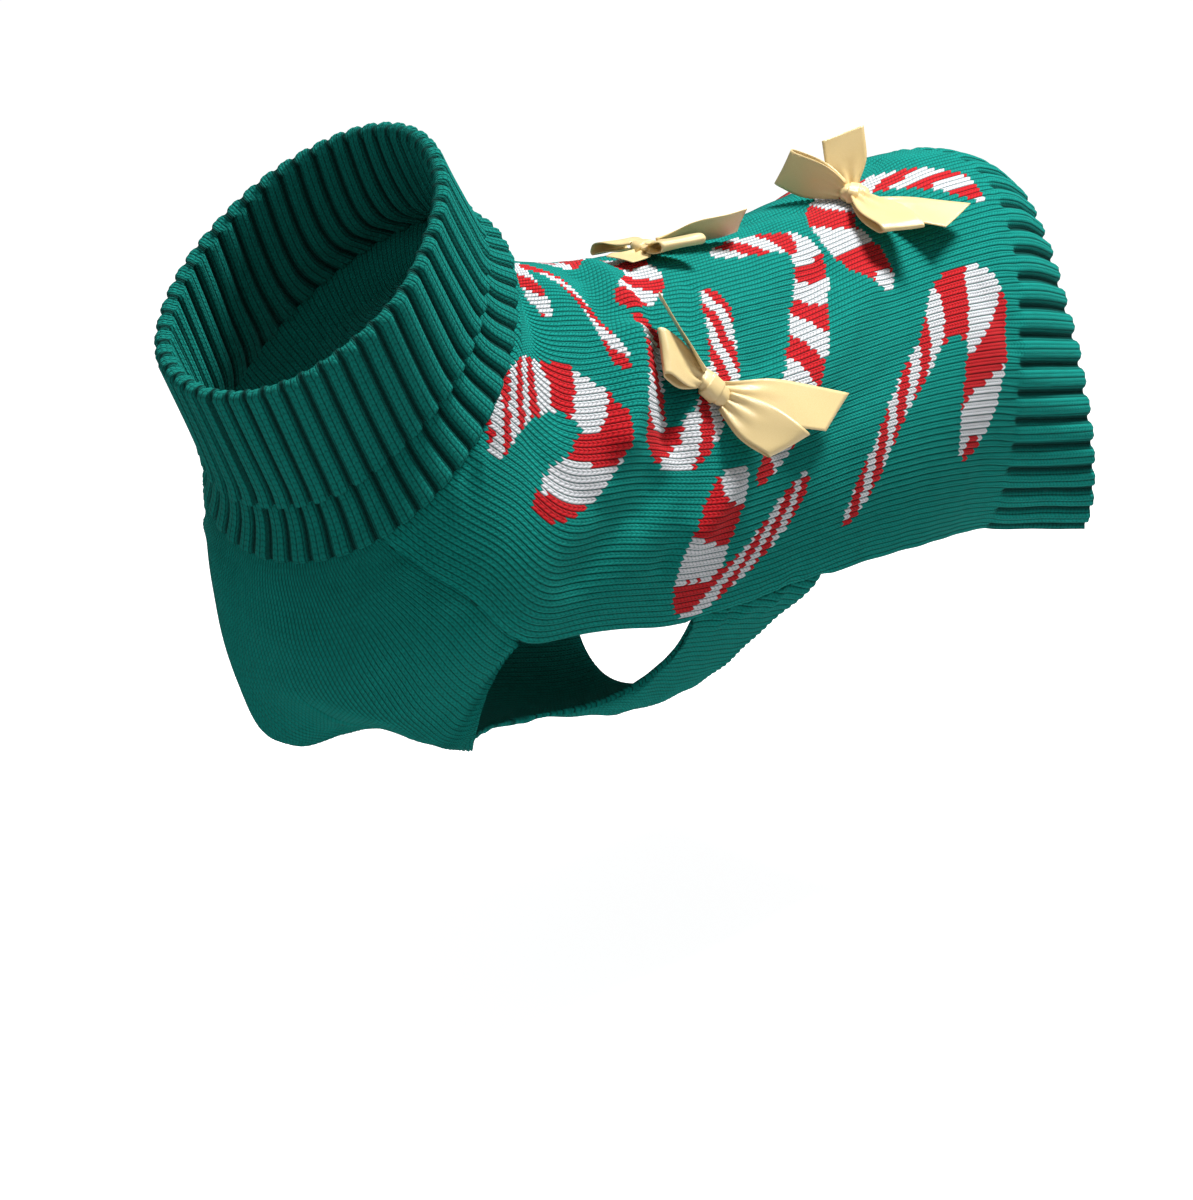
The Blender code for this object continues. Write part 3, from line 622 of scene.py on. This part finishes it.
def collar_point(height, angle, inset, rise):
    values = spline(COLLAR_RINGS, np.full(angle.shape, height))
    point = section_point(values, angle, RING_COLUMNS)
    before, after = [section_point(values, angle + turn, RING_COLUMNS) for turn in (-SLOPE_STEP, SLOPE_STEP)]
    lean = np.radians(column(values, "lean", RING_COLUMNS))
    axis = joined(0.0, -np.cos(lean), np.sin(lean))
    inward = unit(np.cross(after - before, axis))
    return point + inward * np.asarray(inset)[..., None] + axis * np.asarray(rise)[..., None]


STAND_TOP = 0.9                                   # ring height where the stand is fully tucked in
STAND_SEAM_DEPTH, STAND_SEAM_REACH = 1.1, 0.07    # groove at the neck seam
UNDER_TURN = (1.2, 1.5, 1.85)                     # ring heights between the stand and the turned half
INNER_FOLD = 1.93
LIP_RISE, LIP_REACH = 0.8, 0.1                    # the turned half's edge stands off
SEAM_RELIEF = 0.55                                # share of the rib's height at the neck seam
INSIDE_RELIEF = -0.8
WOBBLE_AROUND, WOBBLE_UP = 75, 40                 # millimetres for a radian and for a ring


def collar_profile():
    """The folded wall all the way round: height on the rings, inset, rise, and rib relief outwards.

    It goes up the outside of the stand, under the turned-down half and back out, up that half, over the
    fold at the top, and down the inside.
    """
    wall, gap = COLLAR_WALL, COLLAR_FOLD_GAP
    tuck, radius = wall + gap, wall + gap / 2
    rows = []
    for height in np.linspace(0, STAND_TOP, 13):
        groove = STAND_SEAM_DEPTH * bell(height / STAND_SEAM_REACH)
        rows.append((height, tuck * float(smooth_step(height / STAND_TOP)) + groove, 0.0, 1.0))
    rows += [(height, tuck, 0.0, 0.0) for height in UNDER_TURN]
    rows.append((INNER_FOLD, radius, 0.0, 0.0))
    rows += [(height, wall, 0.0, 0.0) for height in reversed(UNDER_TURN)]
    rows.append((EDGE_RING + 0.01, wall - 0.6, 0.0, 0.4))
    rows.append((EDGE_RING - 0.02, 0.7, 0.0, 0.7))
    for height in np.linspace(EDGE_RING, FOLD_RING, 22):
        rows.append((height, -LIP_RISE * bell((height - EDGE_RING) / LIP_REACH), 0.0, 1.0))
    for turn in np.linspace(0, math.pi, 9)[1:-1]:
        relief = 0.5 + 0.5 * math.cos(turn)
        rows.append((FOLD_RING, radius * (1 - math.cos(turn)), radius * math.sin(turn), 0.55 + 0.45 * relief))
    for height in np.linspace(FOLD_RING, 0, 34):
        rows.append((height, tuck * float(smooth_step(height / STAND_TOP)) + wall, 0.0, INSIDE_RELIEF))
    return rows


def collar(material):
    columns = len(RIB_HEIGHTS) * COLLAR_RIBS
    angle = rib_shares(COLLAR_RIBS)[:-1] * math.pi
    relief = rib_relief(columns)
    rings = []
    for height, inset, rise, rib in collar_profile():
        place = joined(angle * WOBBLE_AROUND, height * WOBBLE_UP)
        wobble = COLLAR_UNEVEN * unevenness(place, SEED_COLLAR, COLLAR_WAVE) * min(1.0, height * 2)
        wave = rib * relief * (SEAM_RELIEF if height == 0 else 1.0)
        rings.append(collar_point(height, angle, inset - wave - wobble, np.full(columns, rise)))
    rings = np.array(rings)
    count = len(rings)
    index = np.arange(count * columns).reshape(count, columns)
    closed = np.concatenate([index, index[:1]])
    closed = np.concatenate([closed, closed[:, :1]], axis=1)
    step = lengths(np.diff(np.concatenate([rings, rings[:1]]), axis=0)).mean(axis=1)
    run = totals(step)[:-1] / COURSE
    uv = joined(np.arange(columns) / 2, run[:, None])
    return make_mesh("collar_knit", rings.reshape(-1, 3), [grid_faces(closed)], material, None,
                     uv.reshape(-1, 2))


# ---------------- ribbons and knots
RIBBON_ROWS_PER_STEP = 6
RIBBON_COLUMNS = 14
RIBBON_THICKNESS = 0.4
ROOT_DEPTH = 1.5           # how far a ribbon's root lies inside the knot's outline
ROOT_CLEAR = 0.5
CLOTH_STEPS = 6
PLEAT_HEIGHT, PLEAT_TURNS, PLEAT_PHASE = 0.95, 2.5, 0.6
SOFT_HEIGHT = 0.15
# share of the way, half the space between a loop's layers, share of the full width gained
TAIL_ROWS = ((0.0, 0.0, 0.0), (0.15, 0.0, 0.3), (0.35, 0.0, 0.8), (0.55, 0.0, 1.0), (0.78, 0.0, 1.0),
             (1.0, 0.0, 1.0))
LOOP_ROWS = ((0.0, 1.1, 0.0), (0.25, 1.5, 0.6), (0.55, 2.0, 1.0), (0.85, 2.1, 1.0), (0.96, 1.4, 1.0))


def knot_frame(bow):
    """The cloth point under a knot, with unit directions along the panel, around it and outwards."""
    along, around = BOWS[bow][:2]
    station, angle = float(station_of(along)), around / GIRTH_RADIUS
    origin = folded_body(station, angle)
    normal = body_outward(station, angle)
    ahead = unit(folded_body(station + 0.05, angle) - origin)
    ahead = unit(ahead - (ahead @ normal) * normal)
    return station, angle, origin, ahead, np.cross(ahead, normal), normal


def cloth_height(bow, offsets):
    """Height of the cloth over the knot's own plane, under offsets (along, around)."""
    station, angle, origin, ahead, beside, normal = knot_frame(bow)
    stations = np.full(offsets.shape[:-1], station)
    angles = np.full(offsets.shape[:-1], angle)
    axes = np.stack([ahead, beside])
    step = SLOPE_STEP
    for _ in range(CLOTH_STEPS):
        miss = offsets - (folded_body(stations, angles) - origin) @ axes.T
        by_station = (folded_body(stations + step, angles) - folded_body(stations - step, angles)) @ axes.T
        by_angle = (folded_body(stations, angles + step) - folded_body(stations, angles - step)) @ axes.T
        slope = joined(by_station, by_angle) / (2 * step)
        change = np.linalg.solve(slope, miss[..., None])[..., 0]
        stations = stations + np.clip(change[..., 0], -0.5, 0.5)
        angles = angles + np.clip(change[..., 1], -0.4, 0.4)
    return (folded_body(stations, angles) - origin) @ normal


def ribbon_root(bow, height, first, second):
    turn, half_length, half_height, middle = BOWS[bow][2:]
    tip = (first + second) / 2
    heading = math.atan2(tip[1], tip[0])
    lean = heading - math.radians(turn)
    reach = ROOT_CLEAR + RIBBON_PINCH / 2 * abs(unit(first - second)[2])
    off_middle = max(0.0, abs(height - middle) - reach) / half_height
    waist = math.sqrt(max(0.0, 1 - off_middle**2))
    outline = math.hypot(half_length * math.cos(lean), KNOT_HALF_WIDTH * math.sin(lean))
    distance = waist * outline - ROOT_DEPTH
    return np.array([distance * math.cos(heading), distance * math.sin(heading), height])


def ribbon_row(bow, root, first, second, share, gape, spread):
    """Three points across a ribbon, in the knot's own axes, kept clear of the cloth."""
    tip = (first + second) / 2
    end_width = first - second
    path = unit(tip - root)
    full = np.linalg.norm(end_width) * share + RIBBON_WIDTH * (1 - share)
    half = (RIBBON_PINCH * (1 - spread) + full * spread) / 2
    root_width = unit(end_width - (end_width @ path) * path)
    across = unit(root_width * (1 - share) + unit(end_width) * share)
    layer = unit(np.cross(path, across))
    layer = layer if layer[2] >= 0 else -layer
    middle = root + (tip - root) * share
    points = np.array([[middle + side * half * across - fold * layer for side in (-1, 0, 1)]
                       for fold in (gape, -gape)])
    lack = RIBBON_REST - (points[..., 2] - cloth_height(bow, points[..., :2])).min()
    points[..., 2] += max(0.0, lack)
    return points[0]


def strip_normals(grid):
    return unit(np.cross(np.gradient(grid, axis=0), np.gradient(grid, axis=1)))


def closed_strip(grid, thickness):
    """Points and face groups of a thin closed sheet around a grid of points."""
    rows, columns = grid.shape[:2]
    lift = strip_normals(grid) * thickness / 2
    index = np.arange(rows * columns).reshape(rows, columns)
    top, low = border(index), border(index) + index.size
    rim = joined(top, low, np.roll(low, -1), np.roll(top, -1))
    points = np.concatenate([(grid + lift).reshape(-1, 3), (grid - lift).reshape(-1, 3)])
    return points, [grid_faces(index), grid_faces(index + index.size)[:, ::-1], rim]


def ribbon(bow, piece, kind, root_height, first, second, material):
    """One stretch of satin ribbon: pleated where the knot grips it, smooth and rounded at its fold."""
    first, second = np.array(first), np.array(second)
    root = ribbon_root(bow, root_height, first, second)
    _, _, origin, ahead, beside, normal = knot_frame(bow)
    axes = np.stack([ahead, beside, normal])
    if kind == "tail":
        rows = TAIL_ROWS
    else:
        back = tuple((share, -gape, spread) for share, gape, spread in reversed(LOOP_ROWS))
        rows = LOOP_ROWS + ((1.0, 0.0, 1.0),) + back
    coarse = np.array([ribbon_row(bow, root, first, second, *row) for row in rows])
    marks = np.linspace(0, len(rows) - 1, (len(rows) - 1) * RIBBON_ROWS_PER_STEP + 1)
    smooth = spline(coarse.reshape(len(rows), 9), marks).reshape(-1, 3, 3)
    spread = np.interp(marks, np.arange(len(rows)), [row[2] for row in rows])
    across = np.linspace(-1, 1, RIBBON_COLUMNS + 1)
    weights = joined(np.clip(-across, 0, 1), 1 - np.abs(across), np.clip(across, 0, 1))
    grid = np.einsum("ck,rkx->rcx", weights, smooth)
    pleat = PLEAT_HEIGHT * (1 - spread)[:, None] * np.cos(PLEAT_TURNS * math.pi * across + PLEAT_PHASE)
    soft = SOFT_HEIGHT * spread[:, None] * np.sin(math.pi * (across * 0.8 + marks[:, None] * 0.5))
    grid = grid + strip_normals(grid) * (pleat + soft)[..., None]
    grid = origin + grid @ axes
    length = lengths(np.diff(grid[:, RIBBON_COLUMNS // 2], axis=0)).sum() * MM
    points, faces = closed_strip(grid, RIBBON_THICKNESS)
    obj = make_mesh(f"{bow}_{piece}_satin", points, faces, material)
    return obj, length


KNOT_STEPS_AROUND, CORE_ROWS, WRAP_ROWS = 48, 25, 13
CORE_SCALE, WRAP_SCALE = (0.86, 0.92), (1.0, 1.04)     # across and up, as shares of the knot's sizes
CORE_END, WRAP_END, WRAP_EDGE = 0.985, 0.42, 0.08


def knot(bow, material):
    """The knot: the bunched middle of the bow, with the ribbon wrapped once around it."""
    turn, half_length, half_height, middle = BOWS[bow][2:]
    _, _, origin, ahead, beside, normal = knot_frame(bow)
    turn = math.radians(turn)
    axis = ahead * math.cos(turn) + beside * math.sin(turn)
    side = np.cross(normal, axis)
    centre = origin + normal * middle
    around = np.linspace(0, 2 * math.pi, KNOT_STEPS_AROUND, endpoint=False)

    def tube(ends, scale, folds, twist, twist_rate):
        """A closed tube along the knot's axis, with its cross-section size at each place."""
        half_width, height = KNOT_HALF_WIDTH * scale[0], half_height * scale[1]
        rows = []
        for place, size in ends:
            wave = 1 + folds * np.cos(3 * around + twist + twist_rate * place) \
                + 0.6 * folds * np.cos(5 * around - 1.7 * twist_rate * place)
            flat = np.sign(np.cos(around)) * np.abs(np.cos(around)) ** 0.8
            rows.append(centre + axis * place * half_length
                        + side * (flat * half_width * size * wave)[:, None]
                        + normal * (np.sin(around) * height * size * wave)[:, None])
        return np.array(rows)

    core = tube([(place, (1 - abs(place) ** 3.2) ** 0.5 * 0.92 + 0.08)
                 for place in np.linspace(-1, 1, CORE_ROWS) * CORE_END], CORE_SCALE, 0.055, 0.4, 2.6)
    wrap = tube([(place, 1.0 - 0.5 * smooth_step((abs(place) - WRAP_END + WRAP_EDGE) / WRAP_EDGE))
                 for place in np.linspace(-WRAP_END, WRAP_END, WRAP_ROWS)], WRAP_SCALE, 0.035, 1.3, 1.0)
    points, faces, start = [], [], 0
    for grid in (core, wrap):
        index = start + np.arange(grid[..., 0].size).reshape(len(grid), -1)
        closed = np.concatenate([index, index[:, :1]], axis=1)
        faces += [grid_faces(closed), index[:1, ::-1], index[-1:]]
        points.append(grid.reshape(-1, 3))
        start += index.size
    return make_mesh(f"{bow}_knot_satin", np.concatenate(points), faces, material)


# ---------------- materials
def rgba(red, green, blue):
    return (red, green, blue, 1.0)


KNIT_GREEN = rgba(0.001, 0.250, 0.206)
RIB_GREEN = rgba(0.001, 0.215, 0.176)
# painted shade: the colour multiplied into the knit where its stitch relief is low
VALLEY_SHADE = rgba(0.05, 0.20, 0.19)
RIB_SHADE = rgba(0.10, 0.20, 0.20)
ALL_RIBBED = -2.0          # a first ribbed course before the piece's own first
WHITE_YARN, WHITE_FLECK = rgba(0.80, 0.79, 0.82), rgba(0.92, 0.92, 0.93)
RED_YARN, RED_FLECK = rgba(0.66, 0.008, 0.016), rgba(0.85, 0.03, 0.04)
SATIN_GOLD, SATIN_CREAM = rgba(0.76, 0.56, 0.24), rgba(0.84, 0.66, 0.34)
KNIT_SHADING = {"Roughness": 0.9, "Specular IOR Level": 0.1, "Sheen Weight": 0.06, "Sheen Roughness": 0.5,
                "Sheen Tint": rgba(0.1, 1.0, 0.85)}
SATIN_SHADING = {"Roughness": 0.30, "Anisotropic": 0.5, "Specular IOR Level": 0.8, "Sheen Weight": 0.1,
                 "Sheen Roughness": 0.4, "Sheen Tint": rgba(1.0, 0.9, 0.7)}


class Nodes:
    """Short helpers for one material's node tree."""

    def __init__(self, name, shading):
        self.material = bpy.data.materials.new(name)
        self.material.use_nodes = True
        self.tree = self.material.node_tree
        self.shader = self.tree.nodes["Principled BSDF"]
        self.fill(self.shader, shading)

    def fill(self, node, values):
        for socket, value in values.items():
            self.put(node.inputs[socket], value)
        return node

    def add(self, kind, **settings):
        node = self.tree.nodes.new(kind)
        for key, value in settings.items():
            setattr(node, key, value)
        return node

    def link(self, source, target):
        self.tree.links.new(source, target)

    def put(self, socket, value):
        if isinstance(value, bpy.types.NodeSocket):
            self.link(value, socket)
        else:
            socket.default_value = value

    def math(self, operation, first, second=0.0):
        node = self.add("ShaderNodeMath", operation=operation)
        return self.fill(node, {0: first, 1: second}).outputs[0]

    def times(self, first, second):
        return self.math("MULTIPLY", first, second)

    def rest(self, value):
        return self.math("SUBTRACT", 1.0, value)

    def noise(self, scale, detail=2.0, roughness=0.5):
        node = self.add("ShaderNodeTexNoise")
        return self.fill(node, {"Scale": scale, "Detail": detail, "Roughness": roughness}).outputs["Fac"]

    def mix(self, share, first, second, blend="MIX"):
        node = self.add("ShaderNodeMix", data_type="RGBA", blend_type=blend)
        return self.fill(node, {0: share, 6: first, 7: second}).outputs[2]

    def ramp(self, value, low, high):
        """value stretched so that low becomes 0 and high becomes 1."""
        node = self.add("ShaderNodeMapRange", clamp=True)
        return self.fill(node, {"Value": value, "From Min": low, "From Max": high}).outputs["Result"]

    def bump(self, height, strength, distance):
        node = self.add("ShaderNodeBump")
        self.fill(node, {"Strength": strength, "Distance": distance, "Height": height})
        self.link(node.outputs["Normal"], self.shader.inputs["Normal"])


def brighter(tint, gain, plus=0.0):
    return rgba(*[min(1.0, part * gain + plus) for part in tint[:3]])


def knit_material(name, base, has_canes, rib_from=None):
    """Stockinette: two slanted legs in every stitch, read from the stitch coordinates."""
    n = Nodes(name, KNIT_SHADING)
    uv = n.add("ShaderNodeUVMap", uv_map="stitch").outputs["UV"]
    split = n.add("ShaderNodeSeparateXYZ")
    n.link(uv, split.inputs[0])
    wale, course = split.outputs[0], split.outputs[1]
    leg = n.times(n.math("ABSOLUTE", n.math("SUBTRACT", n.math("FRACT", wale), 0.5)), 2.0)
    row = n.math("FRACT", n.math("ADD", course, n.times(leg, 0.5)))
    # a leg bulges across, dips softly at the middle of the stitch and deeply between the wales
    across = n.math("ADD", n.times(n.math("SINE", n.times(leg, math.pi)), 0.45), 0.55)
    gutter = n.rest(n.math("POWER", leg, 7.0))
    lengthwise = n.math("POWER", n.math("SINE", n.times(row, math.pi)), 0.6)
    lengthwise = n.math("ADD", n.times(lengthwise, 0.6), 0.4)
    height = n.times(n.times(across, gutter), lengthwise)
    fuzz = n.noise(1500.0, 3.0, 0.6)
    n.bump(n.math("ADD", height, n.times(fuzz, 0.45)), 0.9, 0.0010)

    patches = n.noise(35.0, 3.0, 0.5)
    flecks = n.ramp(n.noise(900.0, 2.0, 0.7), 0.35, 0.75)
    tone = n.mix(n.ramp(patches, 0.3, 0.7), base, brighter(base, 0.86))
    tone = n.mix(n.times(flecks, 0.5), tone, brighter(base, 2.0, 0.02))
    if has_canes:
        yarn = n.add("ShaderNodeAttribute", attribute_name="yarn").outputs["Fac"]
        white = n.mix(n.times(flecks, 0.25), WHITE_YARN, WHITE_FLECK)
        red = n.mix(n.times(flecks, 0.35), RED_YARN, RED_FLECK)
        tone = n.mix(n.math("GREATER_THAN", yarn, (GREEN + WHITE) / 2), tone, white)
        tone = n.mix(n.math("GREATER_THAN", yarn, (WHITE + RED) / 2), tone, red)
    # painted shade: the colour darkens where the stitch relief is low, most deeply between the wales
    tone = n.mix(n.rest(n.ramp(height, 0.0, 0.75)), tone, VALLEY_SHADE, "MULTIPLY")
    if rib_from is not None:
        # the sunk wales of a 2x2 rib lie in shade: every third and fourth wale, past the first ribbed course
        sunk = n.math("FRACT", n.times(wale, 1 / WALES_PER_RIB))
        sunk = n.times(n.math("ABSOLUTE", n.math("SUBTRACT", sunk, 0.75)), 4.0)
        ribbed = n.ramp(course, rib_from, rib_from + 2.0)
        tone = n.mix(n.times(n.rest(n.ramp(sunk, 0.35, 1.05)), ribbed), tone, RIB_SHADE, "MULTIPLY")
    n.link(tone, n.shader.inputs["Base Color"])
    return n.material


def satin_material(name):
    """Gold satin ribbon: smooth, with a fine weave across it."""
    n = Nodes(name, SATIN_SHADING)
    weave = n.add("ShaderNodeTexWave", wave_type="BANDS", bands_direction="X")
    n.fill(weave, {"Scale": 900.0, "Distortion": 0.6})
    soft = n.noise(160.0, 2.0)
    n.bump(n.math("ADD", n.times(weave.outputs["Fac"], 0.3), soft), 0.25, 0.0004)
    n.link(n.mix(n.ramp(soft, 0.3, 0.7), SATIN_GOLD, SATIN_CREAM), n.shader.inputs["Base Color"])
    return n.material


# ---------------- camera, floor and light
CAMERA_AZIMUTH, CAMERA_ELEVATION = 43.1, 14.9
CAMERA_DISTANCE = 1.26
CAMERA_TARGET = np.array([0.0, 0.0486, -0.1503])
CAMERA_LENS, CAMERA_SENSOR = 87.0, 36.0
FLOOR_HEIGHT, FLOOR_REACH = -0.330, 15.0
FLOOR_GLOW = 0.86          # seen by the camera alone, so that the floor is white and lights nothing
FLOOR_SHADING = {"Base Color": rgba(0.60, 0.60, 0.61), "Roughness": 0.95,
                 "Emission Color": rgba(1.0, 1.0, 1.0)}
WORLD_STRENGTH = 0.26
# name, azimuth, elevation, distance, size, power
LIGHTS = (
    ("key", 140.0, 70.0, 1.7, 0.5, 46.0),
    ("fill", 20.0, 35.0, 2.2, 1.4, 3.0),
)


def toward(azimuth, elevation):
    """Unit vector from the target towards a place, azimuth 0 in front of the head."""
    a, e = math.radians(azimuth), math.radians(elevation)
    return np.array([math.sin(a) * math.cos(e), -math.cos(a) * math.cos(e), math.sin(e)])


def placed(name, data, azimuth=0.0, elevation=0.0, distance=None):
    """A new object, aimed at the target from a distance where one is given."""
    obj = bpy.data.objects.new(name, data)
    bpy.context.scene.collection.objects.link(obj)
    if distance is not None:
        place = CAMERA_TARGET + distance * toward(azimuth, elevation)
        obj.location = place
        obj.rotation_mode = "QUATERNION"
        obj.rotation_quaternion = Vector(CAMERA_TARGET - place).to_track_quat("-Z", "Y")
    return obj


def camera():
    data = bpy.data.cameras.new("camera")
    data.lens, data.sensor_width, data.sensor_fit = CAMERA_LENS, CAMERA_SENSOR, "AUTO"
    data.clip_start, data.clip_end = 0.05, 50.0
    bpy.context.scene.camera = placed("camera", data, CAMERA_AZIMUTH, CAMERA_ELEVATION, CAMERA_DISTANCE)


def studio():
    corners = np.array([[-1, -1, 0], [1, -1, 0], [1, 1, 0], [-1, 1, 0]]) * FLOOR_REACH
    mesh = bpy.data.meshes.new("floor")
    mesh.from_pydata([tuple(corner + [0, 0, FLOOR_HEIGHT]) for corner in corners], [], [(0, 1, 2, 3)])
    floor = placed("floor", mesh)
    n = Nodes("floor", FLOOR_SHADING)
    seen = n.add("ShaderNodeLightPath").outputs["Is Camera Ray"]
    n.link(n.times(seen, FLOOR_GLOW), n.shader.inputs["Emission Strength"])
    mesh.materials.append(n.material)
    world = bpy.data.worlds.new("studio")
    bpy.context.scene.world = world
    world.use_nodes = True
    world.node_tree.nodes["Background"].inputs["Color"].default_value = rgba(1.0, 1.0, 1.0)
    world.node_tree.nodes["Background"].inputs["Strength"].default_value = WORLD_STRENGTH
    bpy.context.scene.view_settings.view_transform = "Standard"
    for name, azimuth, elevation, distance, size, power in LIGHTS:
        data = bpy.data.lights.new(name, "AREA")
        data.shape, data.size, data.energy = "DISK", size, power
        placed(name, data, azimuth, elevation, distance)


# ---------------- assembly
def add_sheet(piece, node):
    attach(piece, "root")
    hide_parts(node)


green = knit_material("green_knit_canes", KNIT_GREEN, True, rib_from=float(PLAIN_COURSES))
plain_green = knit_material("green_knit_plain", KNIT_GREEN, False)
rib_green = knit_material("green_rib", RIB_GREEN, False, rib_from=ALL_RIBBED)
satin = satin_material("satin_ribbon")

add_sheet(back_panel(green), "back_panel")
add_sheet(chest_panel(plain_green), "chest_panel")
add_sheet(collar(rib_green), "collar")
knots = {bow: knot(bow, satin) for bow in BOWS}
for bow, tied in knots.items():
    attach(tied, "root")
    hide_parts(f"{bow}_knot")
for bow, piece, kind, *shape in RIBBONS:
    strip, length = ribbon(bow, piece, kind, *shape, satin)
    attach(strip, "root")
    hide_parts(f"{bow}_{piece}")

camera()
studio()
